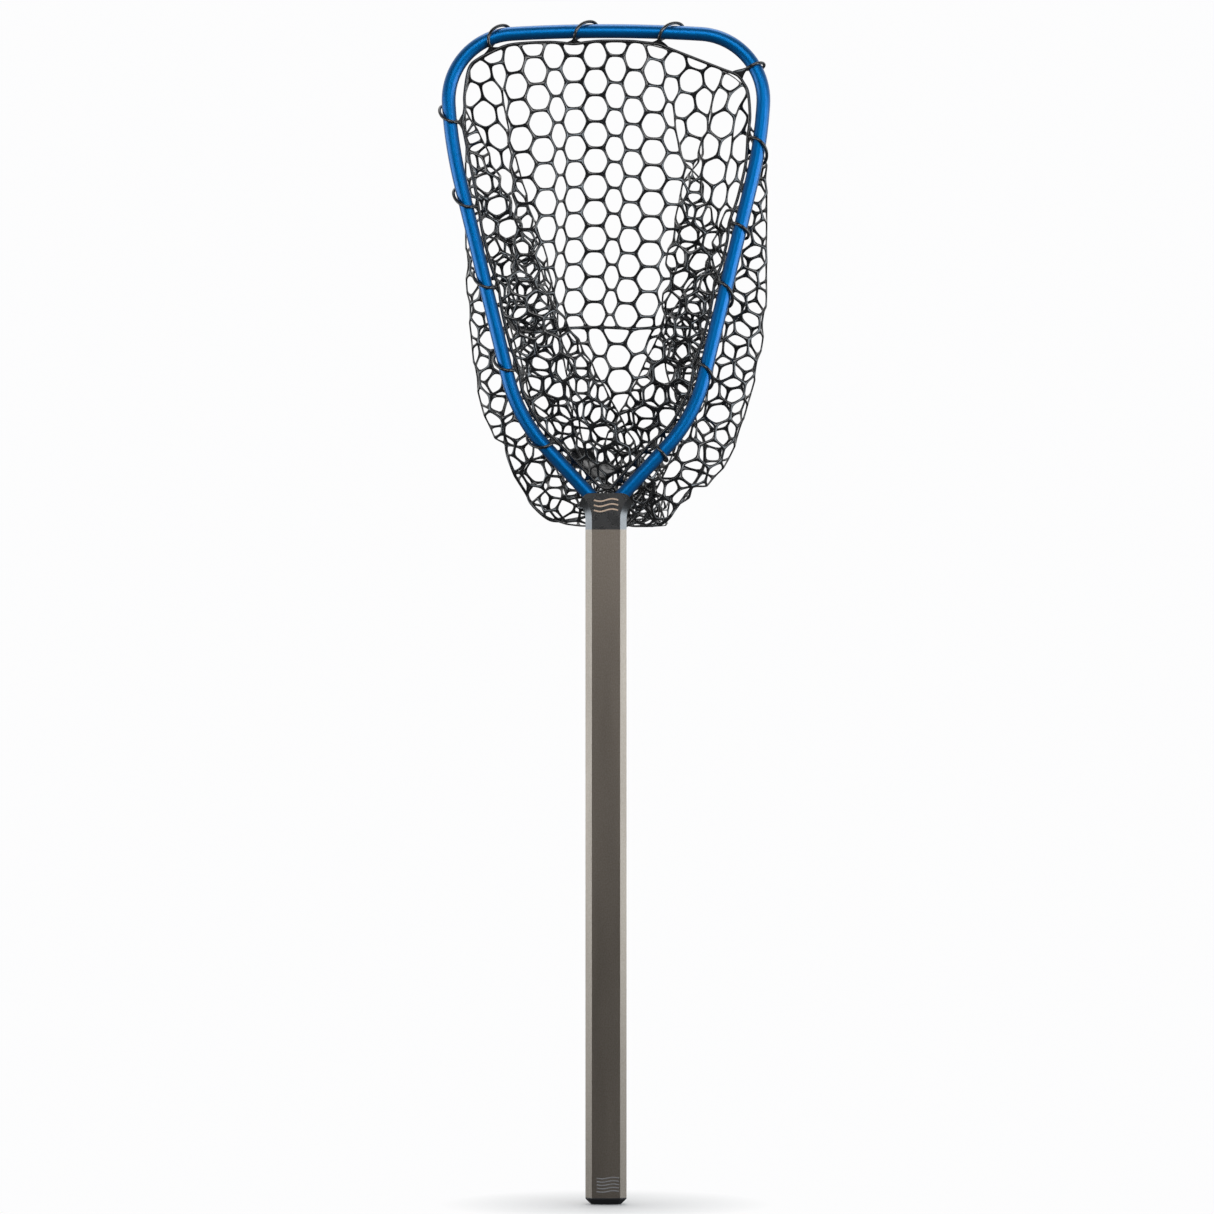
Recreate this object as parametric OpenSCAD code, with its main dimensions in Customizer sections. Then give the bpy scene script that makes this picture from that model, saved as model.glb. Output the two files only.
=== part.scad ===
// Long-handled landing net: a bent tube hoop held in a machined yoke, an eight-sided
// tube handle with a pull-out butt plug, and a moulded rubber bag hung on fourteen loops.
// Z runs up the handle from the butt, the mouth of the hoop faces -Y and the bag hangs behind it.

/* [Handle] */
// Length of the handle tube
handle_len = 604; // [400:1:900]
// Width of the handle, side to side
handle_w = 37.2; // [34:0.1:42]
// Depth of the handle, front to back
handle_d = 22; // [21:0.5:28]
// Width of each bevel, seen from the front
bevel = 5.8; // [4:0.1:7]
// Wall of the handle tube
handle_wall = 1.8; // [1.4:0.1:2.4]

/* [Butt plug] */
// Height of the tapered flange that closes the tube
flange_h = 6; // [4:0.5:10]
// Length of the stem inside the tube
stem_len = 28; // [24:1:50]
// Gap round the stem, each side
stem_gap = 0.08; // [0.05:0.01:0.1]

/* [Hoop] */
// Outer diameter of the hoop tube
tube_d = 12.7; // [11:0.1:14]
// Wall of the hoop tube
tube_wall = 1.2; // [0.9:0.1:2]
// Radius of the slight crown of the top bar
crown_r = 1450; // [1000:50:3000]
// Turn of half the top bar, degrees
crown_turn = 3.4; // [1:0.1:5]
// Radius of the top corners
corner_r = 60; // [50:1:75]
// Radius of the soft bow below each corner
bow_r = 400; // [300:10:600]
// Turn of that bow, degrees
bow_turn = 10.3; // [6:0.1:14]
// Length of each straight side
side_len = 182; // [120:1:240]
// Radius of the lower bends
bend_r = 140; // [100:5:180]
// Turn of the lower bends, degrees
bend_turn = 29; // [24:0.5:34]

/* [Yoke] */
// Height of the yoke above the end of the handle
yoke_h = 33; // [30:0.5:40]
// Height above the handle at which the two legs' axes meet
cross_h = 15.5; // [14:0.5:18]
// Half width of the yoke at its widest
head_half_w = 23.5; // [22:0.5:26]
// Radius of the yoke's shoulders
shoulder_r = 10; // [8:0.5:11]
// Length of the spigot inside the handle
spigot_len = 45; // [36:1:70]

/* [Bag] */
// Distance from the hoop's centreline in to the rim band
rim_in = 10.5; // [10:0.1:13]
// Thickness of the rim band, seen from the front
rim_t = 3; // [2:0.1:5]
// Wall of the solid that stands for the netting
net_t = 1.6; // [1:0.1:3]
// How far behind the hoop's centreline the bag reaches
bag_y = 132; // [90:1:180]

/* [Hidden] */
LOOPS = 14;
function loop_name(i) = str("net_loop_", i < 9 ? "0" : "", i + 1);
$fn = 64;
hull_fn = 32;
eps = 0.01;

fit = 0.02;            // radial gap of parts that are bonded or screwed together
joint_step = 0.06;     // how much thicker every second stretch of a swept part is
joint_lap = 1;         // how far the stretches between run into it
tube_r = tube_d / 2;
seam_z = flange_h + handle_len;

// The butt plug's two O-rings
ring_h = 2.4;
ring_t = 1.6;
ring_gap = 0.05;
ring_z = [flange_h + 8, flange_h + 20];

// Screws, all on the back: the handle's have flush cone heads, the hoop's sit in counterbores
shank_r = 2;
head_r = 3.6;
head_h = 2.4;
cone_h = head_r - shank_r;
flush_in = 0.05;
socket_r = 1.45;
socket_h = 1.2;
handle_screw_z = [seam_z - 33, seam_z - 12];
handle_screw_len = 9;
hoop_screw_len = 12;
counterbore_h = 3;

// The hoop's right half as stretches from the middle of the top bar: [bend radius, turn in
// degrees], or [0, length] for a straight one. The left half is its mirror image.
leg_turn = crown_turn + 90 + bow_turn + bend_turn;
bends = [[crown_r, crown_turn], [corner_r, 90], [bow_r, bow_turn], [0, side_len], [bend_r, bend_turn]];

// A pose is [x, z, heading], with the heading in degrees clockwise from +X.
function moved(p, s) =
    s[0] == 0
    ? [p[0] + s[1] * cos(p[2]), p[1] - s[1] * sin(p[2]), p[2]]
    : [p[0] + s[0] * (sin(p[2] + s[1]) - sin(p[2])), p[1] + s[0] * (cos(p[2] + s[1]) - cos(p[2])), p[2] + s[1]];
function pose_after(list, i, start) = i == 0 ? start : moved(pose_after(list, i - 1, start), list[i - 1]);
function stretch_len(s) = s[0] == 0 ? s[1] : s[0] * s[1] * PI / 180;
function pose_at(list, s, start, i = 0) =
    i == len(list) - 1 || s <= stretch_len(list[i])
    ? moved(start, list[i][0] == 0 ? [0, s] : [list[i][0], s * 180 / PI / list[i][0]])
    : pose_at(list, s - stretch_len(list[i]), moved(start, list[i]), i + 1);

// Where the legs' axes meet on the middle plane, and so how high the top bar is
leg_top = pose_after(bends, len(bends), [0, 0, 0]);
leg_to_cross = leg_top[0] / -cos(leg_turn);
top_z = seam_z + cross_h - leg_top[1] + leg_to_cross * sin(leg_turn);
top = [0, top_z, 0];
end_to_cross = 9.7;
leg_len = leg_to_cross - end_to_cross;
hoop = concat(bends, [[0, leg_len]]);
insert_len = 26;
screw_to_end = 6;
screw_at = pose_after(concat(bends, [[0, leg_len - screw_to_end]]), len(hoop), top);

// The yoke's flare is an arc that starts upright at the neck and reaches the widest point
flare_z = 9.7;
widest_z = yoke_h - shoulder_r;
flare_out = head_half_w - handle_w / 2;
flare_r = (pow(widest_z - flare_z, 2) + pow(flare_out, 2)) / (2 * flare_out);

// The loops: where each one crosses the tube, along the hoop from the middle of the top bar,
// clockwise positive
loop_at = [-497, -418, -341, -265, -188, -96, -17, 61, 146, 225, 299, 359, 435, 515];
loop_cord = 1.2;
loop_tilt = 35;
loop_gap = 0.4;
loop_r = (tube_r + joint_step + loop_gap + loop_cord) / cos(loop_tilt);
web_w = 4;
web_h = 2.4;
web_gap = 0.1;

// The rim band runs inside the hoop, in from its centreline, and closes in a small arc above the yoke
rim_y = [-2, 9.5];
toe_r = 12;
rim_mid = rim_in + rim_t / 2;
rim_bends = [for (s = bends) s[0] == 0 ? s : [s[0] - rim_mid, s[1]]];
toe_turn = 180 - leg_turn;
rim_leg = leg_to_cross - (rim_mid + toe_r) / tan(toe_turn);
rim = concat(rim_bends, [[0, rim_leg], [toe_r, toe_turn]]);

// The bag's closed solid: from the mouth behind the rim band to a base that hangs lower
mouth_y = 11.2;
mouth_in = 12;
base_wide = [76, seam_z + 180, 46];
base_low = [60, seam_z + 54, 50];
seam_t = 3;
patch_r = 11;
patch_at = [-20, seam_z + 60];

function octagon(inset) =
    let (w = handle_w / 2 - inset, d = handle_d / 2 - inset, c = bevel - inset * (2 - sqrt(2)))
    [[c - w, -d], [w - c, -d], [w, c - d], [w, d - c], [w - c, d], [c - w, d], [-w, d - c], [-w, c - d]];

module prism(inset, z, h) {
    translate([0, 0, z])
        linear_extrude(h) polygon(octagon(inset));
}

// Turns a drawing of x and z into a slab from y0 to y1
module slab(y0, y1) {
    translate([0, y1, 0])
        rotate([90, 0, 0]) linear_extrude(y1 - y0) children();
}

// Sweeps a section along a route and its mirror image. In the section, x points out of the hoop
// and y back. Every second stretch is drawn $grow thicker, and the ones between run a lap into it,
// so that neighbours join in one solid. The first stretch crosses the middle plane, and so does
// the last where the route is closed.
module sweep(list, start, closed) {
    last = len(list) - 1;
    rotate([-90, 0, 0]) for (i = [0:last]) {
        p = pose_after(list, i, start);
        thin = i % 2;
        $grow = thin ? 0 : joint_step;
        lap = thin ? joint_lap : 0;
        end_lap = i < last ? lap : 0;
        s = list[i];
        if (i == 0)
            arc(p, s[0], -s[1], s[1]) children();
        else if (closed && i == last)
            arc(p, s[0], p[2], 360 - p[2]) children();
        else
            for (side = [0, 1]) mirror([side, 0, 0])
                if (s[0] == 0)
                    line(p, -lap, s[1] + end_lap) children();
                else
                    arc(p, s[0], p[2] - lap * 180 / PI / s[0], p[2] + s[1] + end_lap * 180 / PI / s[0]) children();
    }
}

// The part of the circle that leaves pose p with radius r, from one heading to another
module arc(p, r, from, to) {
    translate([p[0] - r * sin(p[2]), r * cos(p[2]) - p[1], 0]) rotate([0, 0, from - 90])
        rotate_extrude(angle = to - from, $fn = 180) translate([r, 0]) children();
}

module line(p, from, to) {
    translate([p[0], -p[1], 0]) rotate([0, 0, p[2]]) translate([from, 0, 0]) rotate([90, 0, 90])
        linear_extrude(to - from) mirror([1, 0]) children();
}

// Stands children on a pose of the right half: their z runs along the route, their x out of the hoop
module along(p) {
    translate([p[0], 0, p[1]]) rotate([0, 90 + p[2], 0]) rotate([0, 0, 180]) children();
}

// A screw that points forwards from y, with a flush cone head or a raised one, and its hexagon socket
module screw(y, length, flush) {
    crown = flush ? 0 : head_h;
    translate([0, y, 0]) rotate([90, 0, 0]) difference() {
        union() {
            cylinder(r = shank_r, h = length);
            if (flush)
                cylinder(r1 = head_r, r2 = shank_r, h = cone_h);
            else
                rotate([180, 0, 0]) rotate_extrude()
                    polygon([[0, 0], [head_r, 0], [head_r, head_h - 0.8], [head_r - 0.8, head_h], [0, head_h]]);
        }
        translate([0, 0, -crown - eps]) cylinder(r = socket_r, h = socket_h, $fn = 6);
    }
}

module screw_hole(y, length, gap) {
    translate([0, y, 0]) rotate([90, 0, 0]) cylinder(r = shank_r + gap, h = length);
}

module handle_tube() {
    color([0.40, 0.37, 0.34]) difference() {
        prism(0, flange_h, handle_len);
        prism(handle_wall, flange_h - 1, handle_len + 2);
        for (z = handle_screw_z) translate([0, handle_d / 2, z]) {
            screw_hole(1, handle_wall + 2, fit);
            rotate([90, 0, 0]) cylinder(r1 = head_r + flush_in + fit, r2 = shank_r + fit, h = cone_h + flush_in);
        }
    }
}

module butt_plug() {
    body_in = handle_wall + stem_gap;
    color([0.07, 0.07, 0.07]) difference() {
        union() {
            hull() {
                prism(0, flange_h - 1, 1);
                prism(flange_h - 1, 0, eps);
            }
            prism(body_in, flange_h, stem_len);
        }
        for (z = ring_z) difference() {
            prism(0, z, ring_h + 0.2);
            prism(body_in + ring_t, z, ring_h + 0.2);
        }
    }
}

module butt_ring(i) {
    color([0.12, 0.12, 0.13]) difference() {
        prism(handle_wall + ring_gap, ring_z[i] + 0.1, ring_h);
        prism(handle_wall + stem_gap + ring_t - fit, ring_z[i], ring_h + 1);
    }
}

// One side of the yoke is cut to the neck, the flare and their bevels
module neck_cut() {
    face = handle_d / 2;
    flare_x = handle_w / 2 + flare_r;
    translate([handle_w / 2, -face - 1, -1]) cube([flare_r, handle_d + 2, flare_z + 1]);
    translate([flare_x, -face - 1, flare_z]) rotate([-90, 0, 0]) cylinder(r = flare_r, h = handle_d + 2, $fn = 120);
    for (front = [0, 1]) mirror([0, front, 0]) {
        translate([0, 0, -1]) linear_extrude(flare_z + 1)
            polygon([[handle_w / 2 - bevel, face], [handle_w / 2, face - bevel],
                     [handle_w / 2 + 1, face - bevel], [handle_w / 2 + 1, face + 1], [handle_w / 2 - bevel, face + 1]]);
        translate([flare_x, face - bevel, flare_z]) rotate([-90, 0, 0])
            cylinder(r1 = flare_r, r2 = flare_r + bevel, h = bevel, $fn = 120);
    }
}

module yoke() {
    color([0.16, 0.16, 0.165]) difference() {
        union() {
            translate([0, 0, seam_z]) difference() {
                slab(-handle_d / 2, handle_d / 2) {
                    translate([-head_half_w, 0]) square([2 * head_half_w, widest_z]);
                    translate([shoulder_r - head_half_w, 0]) square([2 * (head_half_w - shoulder_r), yoke_h]);
                    for (side = [-1, 1]) translate([side * (head_half_w - shoulder_r), widest_z]) circle(shoulder_r);
                }
                for (side = [0, 1]) mirror([side, 0, 0]) neck_cut();
            }
            prism(handle_wall + fit, seam_z - spigot_len, spigot_len);
        }
        for (side = [0, 1]) mirror([side, 0, 0]) {
            along(pose_after(hoop, len(bends), top)) cylinder(r = tube_r + fit, h = leg_len + fit);
            translate([screw_at[0], 0, screw_at[1]]) {
                screw_hole(handle_d / 2 + 1, handle_d / 2 + 1, fit);
                translate([0, handle_d / 2 - counterbore_h, 0]) rotate([-90, 0, 0]) cylinder(r = head_r + 0.2, h = 10);
            }
        }
        for (z = handle_screw_z) translate([0, 0, z]) screw_hole(handle_d / 2, handle_screw_len + 1, fit);
    }
}

module handle_screw(i) {
    color([0.55, 0.55, 0.56]) translate([0, 0, handle_screw_z[i]])
        screw(handle_d / 2 - flush_in, handle_screw_len, true);
}

module hoop_tube() {
    color([0.03, 0.33, 0.66]) difference() {
        sweep(hoop, top, false) difference() {
            circle(tube_r + $grow);
            circle(tube_r - tube_wall - $grow);
        }
        for (side = [-1, 1]) translate([side * screw_at[0], 0, screw_at[1]]) screw_hole(handle_d / 2, handle_d / 2, fit);
    }
}

// side is 0 on the right, 1 on the left
module hoop_insert(side) {
    color([0.62, 0.63, 0.65]) mirror([side, 0, 0]) difference() {
        along(pose_at(hoop, stretch_total(hoop) - insert_len, top)) cylinder(r = tube_r - tube_wall - fit, h = insert_len);
        translate([screw_at[0], 0, screw_at[1]]) screw_hole(tube_r, tube_d, fit / 2);
    }
}

function stretch_total(list, i = 0) = i == len(list) ? 0 : stretch_len(list[i]) + stretch_total(list, i + 1);

module hoop_screw(side) {
    color([0.55, 0.55, 0.56]) mirror([side, 0, 0])
        translate([screw_at[0], 0, screw_at[1]]) screw(handle_d / 2 - counterbore_h, hoop_screw_len, false);
}

module net_rim() {
    color([0.06, 0.06, 0.065])
        sweep(rim, [0, top_z - rim_mid, 0], true)
            translate([-rim_t / 2 - $grow, rim_y[0] - $grow])
                square([rim_t + 2 * $grow, rim_y[1] - rim_y[0] + 2 * $grow]);
}

// Loop i: a ring round the tube, slanted along it, and the web that joins it to the rim band
module net_loop(i) {
    side = loop_at[i] < 0 ? 1 : 0;
    lean = side == 1 ? -loop_tilt : loop_tilt;
    root_in = loop_r * cos(loop_tilt);
    color([0.06, 0.06, 0.065]) mirror([side, 0, 0]) along(pose_at(hoop, abs(loop_at[i]), top)) {
        rotate([0, lean, 0]) rotate_extrude($fn = 96) translate([loop_r, 0]) circle(loop_cord);
        translate([web_gap - rim_in, -web_h / 2, loop_r * sin(lean) - web_w / 2])
            cube([rim_in - web_gap - root_in, web_h, web_w]);
    }
}

// The hoop's mouth, in from the centreline, as one convex outline of x and z
module mouth(inset) {
    $fn = hull_fn * 2;
    corner = moved(top, bends[0]);
    lower = pose_after(bends, 4, top);
    hull() for (side = [0, 1]) mirror([side, 0]) {
        translate([corner[0] - corner_r * sin(corner[2]), corner[1] - corner_r * cos(corner[2])])
            circle(corner_r - inset);
        translate([lower[0] - bend_r * sin(lower[2]), lower[1] - bend_r * cos(lower[2])])
            intersection() {
                circle(bend_r - inset);
                translate([0, -bend_r]) square(bend_r);
            }
        translate([0, seam_z + cross_h + (inset + toe_r) / sin(toe_turn)]) circle(toe_r);
    }
}

module base_outline(inset) {
    $fn = hull_fn * 2;
    hull() for (side = [-1, 1], c = [base_wide, base_low]) translate([side * c[0], c[1]]) circle(c[2] - inset);
}

module bag_form(inset) {
    hull() {
        slab(mouth_y, mouth_y + eps) mouth(mouth_in + inset);
        slab(bag_y - net_t - eps, bag_y - net_t) base_outline(inset);
    }
}

module net_wall() {
    color([0.08, 0.08, 0.085]) difference() {
        bag_form(0);
        bag_form(net_t);
    }
}

module net_base() {
    color([0.08, 0.08, 0.085]) difference() {
        slab(bag_y - net_t, bag_y) base_outline(0);
        translate([patch_at[0], 0, patch_at[1]]) rotate([-90, 0, 0]) cylinder(r = patch_r, h = bag_y + 1, $fn = 6);
    }
}

module net_base_seam() {
    color([0.06, 0.06, 0.065]) slab(bag_y, bag_y + seam_t) difference() {
        base_outline(0);
        base_outline(seam_t);
    }
}

module net_base_patch() {
    color([0.05, 0.05, 0.055]) translate([patch_at[0], bag_y - net_t, patch_at[1]])
        rotate([-90, 0, 0]) cylinder(r = patch_r, h = net_t, $fn = 6);
}

handle_tube();
butt_plug();
butt_ring(0);  // butt_ring_lower
butt_ring(1);  // butt_ring_upper
yoke();
handle_screw(0);  // handle_screw_lower
handle_screw(1);  // handle_screw_upper
hoop_tube();
hoop_insert(1);  // hoop_insert_left
hoop_insert(0);  // hoop_insert_right
hoop_screw(1);  // hoop_screw_left
hoop_screw(0);  // hoop_screw_right
net_rim();
net_wall();
net_base();
net_base_seam();
net_base_patch();
for (i = [0:LOOPS - 1])
    net_loop(i);
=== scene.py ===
import math

import bpy
import numpy as np
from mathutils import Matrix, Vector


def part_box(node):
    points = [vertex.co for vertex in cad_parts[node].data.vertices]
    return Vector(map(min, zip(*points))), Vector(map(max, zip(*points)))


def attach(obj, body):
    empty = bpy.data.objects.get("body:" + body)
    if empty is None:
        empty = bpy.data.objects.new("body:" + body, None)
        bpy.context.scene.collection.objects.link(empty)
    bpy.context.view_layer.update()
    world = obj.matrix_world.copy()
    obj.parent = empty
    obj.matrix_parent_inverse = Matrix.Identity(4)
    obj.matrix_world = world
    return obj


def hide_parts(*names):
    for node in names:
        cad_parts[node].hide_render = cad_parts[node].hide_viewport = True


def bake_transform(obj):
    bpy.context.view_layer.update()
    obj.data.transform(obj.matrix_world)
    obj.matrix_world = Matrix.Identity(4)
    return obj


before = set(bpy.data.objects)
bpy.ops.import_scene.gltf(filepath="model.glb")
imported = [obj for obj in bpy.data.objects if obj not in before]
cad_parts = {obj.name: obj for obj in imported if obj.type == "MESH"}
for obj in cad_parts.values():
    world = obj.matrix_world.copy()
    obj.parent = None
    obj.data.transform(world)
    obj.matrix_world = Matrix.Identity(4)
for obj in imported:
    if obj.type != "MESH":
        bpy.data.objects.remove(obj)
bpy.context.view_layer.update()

# ---------------------------------------------------------------- sizes, in millimetres
MM = 0.001

# The hoop's right half, as on the CAD model: [bend radius, turn in degrees], or [0, length] where straight
HOOP_BENDS = [[1450, 3.4], [60, 90], [400, 10.3], [0, 182], [140, 29]]
TUBE_R = 6.35
BORE_R = 5.15
HOOP_SIDES = 48
HOOP_STATIONS = 281
YOKE_H = 33
# The legs' centrelines would cross at this height in the yoke, and the tube's ends stop short of there
CROSS_H = 15.5
END_TO_CROSS = 9.7
YOKE_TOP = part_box("yoke")[1].z / MM
SEAM_Z = YOKE_TOP - YOKE_H
FRONT_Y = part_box("yoke")[0].y / MM
BAG_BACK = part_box("net_wall")[1].y / MM

# The fourteen loops: where each one leaves the rim, along the hoop from the middle of the top bar,
# clockwise positive; how far it runs on along the tube; how far inside the hoop's centreline its
# root is; and how far the rim rises toward the tube between it and the next one
LOOPS = [(-508, 20, 11, 2.6), (-429, 18, 11, 2.6), (-352, 20, 11, 2.4), (-277, 21, 10.5, -1.5),
         (-198, 17, 11, 2.5), (-109, 22, 11.5, 2.8), (-29, 21, 11, 2.6), (48, 22, 11, 0),
         (143, 6, 17, 2), (212, 22, 11, 2.6), (292, 11, 11, 2.6), (347, 20, 11, 2.6),
         (423, 20, 11.5, 2.8), (512, 4, 13, 0)]
LOOP_CORD_R = 1.5
LOOP_PLAY = 0.9
LOOP_R = TUBE_R + LOOP_CORD_R + LOOP_PLAY
LOOP_POINTS = 40
# How far round the tube from its root, in radians, a loop has run farthest
LOOP_FARTHEST = 4.2
# The rim is pulled straight across the corner after the loop of this index
TAUT_AFTER = 7

# A loop's web leaves the cord at its point WEB_START. At the rim it stands out past the cord's width
# on either side by WEB_SPREAD, and by WEB_GROWTH of the loop's run
WEB_START = 4
WEB_RINGS = 9
WEB_SPREAD = 4
WEB_GROWTH = 0.3
WEB_FLARE = 1.6
WEB_THICKENS = 0.3

# The rim band lies RIM_Y behind the hoop's middle, near a curve that is RIM_IN inside the hoop's
# centreline and turns with TOE_R at its toe
TOE_R = 12
RIM_IN = 9.7
RIM_HALF_W = 1.5
RIM_HALF_D = 2.6
RIM_Y = 2.5

# The netting: columns of cells round the rim, half rows from rim to base, and a cell's level bar
COLUMNS = 60
LOOP_COLUMNS = 4
FIRST_LOOP_COLUMN = 5
LEVELS = 22
COLUMN_W = 20.3
BAR = 14
HALF_ROW = 11.4

# A strand, before it is rounded. It takes up to CELL_SHARE of a small cell, and SHARPEST limits its corners
STRAND_R = 1.4
STRAND_HALF_H = 0.9
CELL_SHARE = 0.35
SHARPEST = 0.6
SEAM_R = 1.5

# Where the two cells that are filled in hang, x and z
PATCH_AT = (-16, SEAM_Z + 58)

# The base panel, as a share of the rim's outline across and along, and where its toe starts before it hangs
BASE_SCALE = (0.95, 0.6)
BASE_START_Y = RIM_Y + 0.5 * LEVELS * HALF_ROW
BASE_START_Z = SEAM_Z + 100
# A corner of the base's lattice nearer to the seam than this is dropped
SEAM_GAP = 5

# How far the bag's left and right side walls start folded in toward its middle
SIDES_IN = (1.2, 0.7)


# ---------------------------------------------------------------- the hoop's route
def moved(pose, stretch):
    """The pose (x, z, heading in degrees clockwise from +X) at the end of a stretch of the route."""
    x, z, heading = pose
    radius, amount = stretch
    a = math.radians(heading)
    if radius == 0:
        return x + amount * math.cos(a), z - amount * math.sin(a), heading
    b = math.radians(heading + amount)
    x += radius * (math.sin(b) - math.sin(a))
    z += radius * (math.cos(b) - math.cos(a))
    return x, z, heading + amount


def stretch_length(stretch):
    radius, amount = stretch
    return amount if radius == 0 else radius * math.radians(amount)


def after(stretches):
    """The pose at the end of the stretches, from the route's start at the top bar's middle."""
    pose = (0, 0, 0)
    for stretch in stretches:
        pose = moved(pose, stretch)
    return pose


LOWER_END = after(HOOP_BENDS)
TOE_TURN = 180 - LOWER_END[2]
LEG_TO_CROSS = LOWER_END[0] / math.cos(math.radians(TOE_TURN))
TOP_Z = SEAM_Z + CROSS_H - LOWER_END[1] + LEG_TO_CROSS * math.sin(math.radians(TOE_TURN))


def hoop_pose(s):
    """Pose on the hoop's centreline, s from the middle of the top bar, clockwise positive."""
    pose = (0, TOP_Z, 0)
    left = abs(s)
    for stretch in HOOP_BENDS + [[0, LEG_TO_CROSS]]:
        length = stretch_length(stretch)
        share = min(left / length, 1)
        pose = moved(pose, [stretch[0], stretch[1] * share])
        left -= length
        if left <= 0:
            break
    x, z, heading = pose
    return (-x, z, -heading) if s < 0 else pose


def hoop_point(s, out):
    """The point x, z that lies out from the hoop's centreline at s, and negative inside it."""
    x, z, heading = hoop_pose(s)
    a = math.radians(heading)
    return np.array([x + out * math.sin(a), z + out * math.cos(a)])


def rim_outline(inset):
    """Closed outline inside the hoop, as dense points of x and z, clockwise from the top."""
    route = [[radius - inset if radius else 0, amount] for radius, amount in HOOP_BENDS]
    route.append([0, LEG_TO_CROSS - (inset + TOE_R) / math.tan(math.radians(TOE_TURN))])
    route.append([TOE_R, TOE_TURN])
    pose = (0, TOP_Z - inset, 0)
    right = []
    for stretch in route:
        count = max(2, int(stretch_length(stretch)))
        right += [moved(pose, [stretch[0], stretch[1] * i / count])[:2] for i in range(count)]
        pose = moved(pose, stretch)
    right.append(pose[:2])
    return np.array(right + [(-x, z) for x, z in right[-2::-1]])


def unit(vectors):
    vectors = np.asarray(vectors, float)
    return vectors / np.maximum(np.linalg.norm(vectors, axis=-1, keepdims=True), 1e-9)


def length_along(points):
    """Length of the open line through the points, up to each of them."""
    return np.concatenate([[0], np.cumsum(np.linalg.norm(np.diff(points, axis=0), axis=1))])


# ---------------------------------------------------------------- the netting's pattern
def wall_pattern():
    """Flat places of the wall's vertices, along the rim and down from it, and the cells between them."""
    def vertex(k, j):
        return k * COLUMNS + j % COLUMNS

    places = []
    for k in range(LEVELS + 1):
        for j in range(COLUMNS):
            along = j * COLUMN_W - BAR / 2 if (j - k) % 2 == 0 else (j - 1) * COLUMN_W + BAR / 2
            places.append((along, -k * HALF_ROW))
    cells = []
    for k in range(LEVELS - 1):
        for j in range(k % 2, COLUMNS, 2):
            left = [vertex(k + 2, j), vertex(k + 1, j), vertex(k, j)]
            cells.append([vertex(k, j + 1), vertex(k + 1, j + 1), vertex(k + 2, j + 1)] + left)
    for k in (0, LEVELS - 1):
        for j in range(1, COLUMNS, 2):
            cells.append([vertex(k, j + 1), vertex(k + 1, j + 1), vertex(k + 1, j), vertex(k, j)])
    return np.array(places), cells


def inside(outline, point):
    a = outline
    b = np.roll(outline, -1, axis=0)
    crosses = (a[:, 1] > point[1]) != (b[:, 1] > point[1])
    a, b = a[crosses], b[crosses]
    x = a[:, 0] + (b[:, 0] - a[:, 0]) * (point[1] - a[:, 1]) / (b[:, 1] - a[:, 1])
    return (x > point[0]).sum() % 2 == 1


def gap_to(outline, point):
    """Distance from the point to the closed outline."""
    along = np.roll(outline, -1, axis=0) - outline
    t = ((point - outline) * along).sum(1) / (along ** 2).sum(1)
    nearest = outline + np.clip(t, 0, 1)[:, None] * along
    return np.linalg.norm(nearest - point, axis=1).min()


def lattice(low, high):
    """The corners and strands of the hexagon lattice that covers a rectangle."""
    corners = {}
    strands = set()
    lean = COLUMN_W - BAR
    middle = (low[0] + high[0]) / 2
    reach = int((high[0] - low[0]) / COLUMN_W / 2) + 2
    rows = int((high[1] - low[1]) / HALF_ROW / 2) + 3
    hexagon = [(-BAR / 2, 1), (BAR / 2, 1), (BAR / 2 + lean, 0)]
    hexagon += [(BAR / 2, -1), (-BAR / 2, -1), (-BAR / 2 - lean, 0)]
    for column in range(-reach, reach + 1):
        for row in range(rows):
            x = middle + column * COLUMN_W
            y = low[1] + (2 * row + column % 2) * HALF_ROW
            ring = []
            for dx, dy in hexagon:
                spot = (round(x + dx, 2), round(y + dy * HALF_ROW, 2))
                ring.append(corners.setdefault(spot, len(corners)))
            strands |= {(min(a, b), max(a, b)) for a, b in zip(ring, ring[1:] + ring[:1])}
    return np.array(list(corners)), sorted(strands)


def base_strands(ring):
    """Strands of the base panel inside the seam ring, whose vertices are the first ones."""
    corners, strands = lattice(ring.min(0), ring.max(0))
    kept = {}
    for i, corner in enumerate(corners):
        if inside(ring, corner) and gap_to(ring, corner) > SEAM_GAP:
            kept[i] = len(ring) + len(kept)
    places = np.vstack([ring, corners[list(kept)]])
    linked = {v: set() for v in range(len(places))}

    def link(a, b):
        linked[a].add(b)
        linked[b].add(a)

    for j in range(len(ring)):
        link(j, (j + 1) % len(ring))
    for a, b in strands:
        if a in kept and b in kept:
            link(kept[a], kept[b])
        elif a in kept or b in kept:
            # A strand that leaves the panel ends at the seam vertex nearest to its outer half
            near, far = (a, b) if a in kept else (b, a)
            spot = 0.4 * corners[near] + 0.6 * corners[far]
            link(int(np.linalg.norm(ring - spot, axis=1).argmin()), kept[near])
    loose = [v for v in linked if len(linked[v]) == 1]
    while loose:
        v = loose.pop()
        for other in linked.pop(v):
            linked[other].discard(v)
            if len(linked[other]) == 1:
                loose.append(other)
    return places, linked


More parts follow.
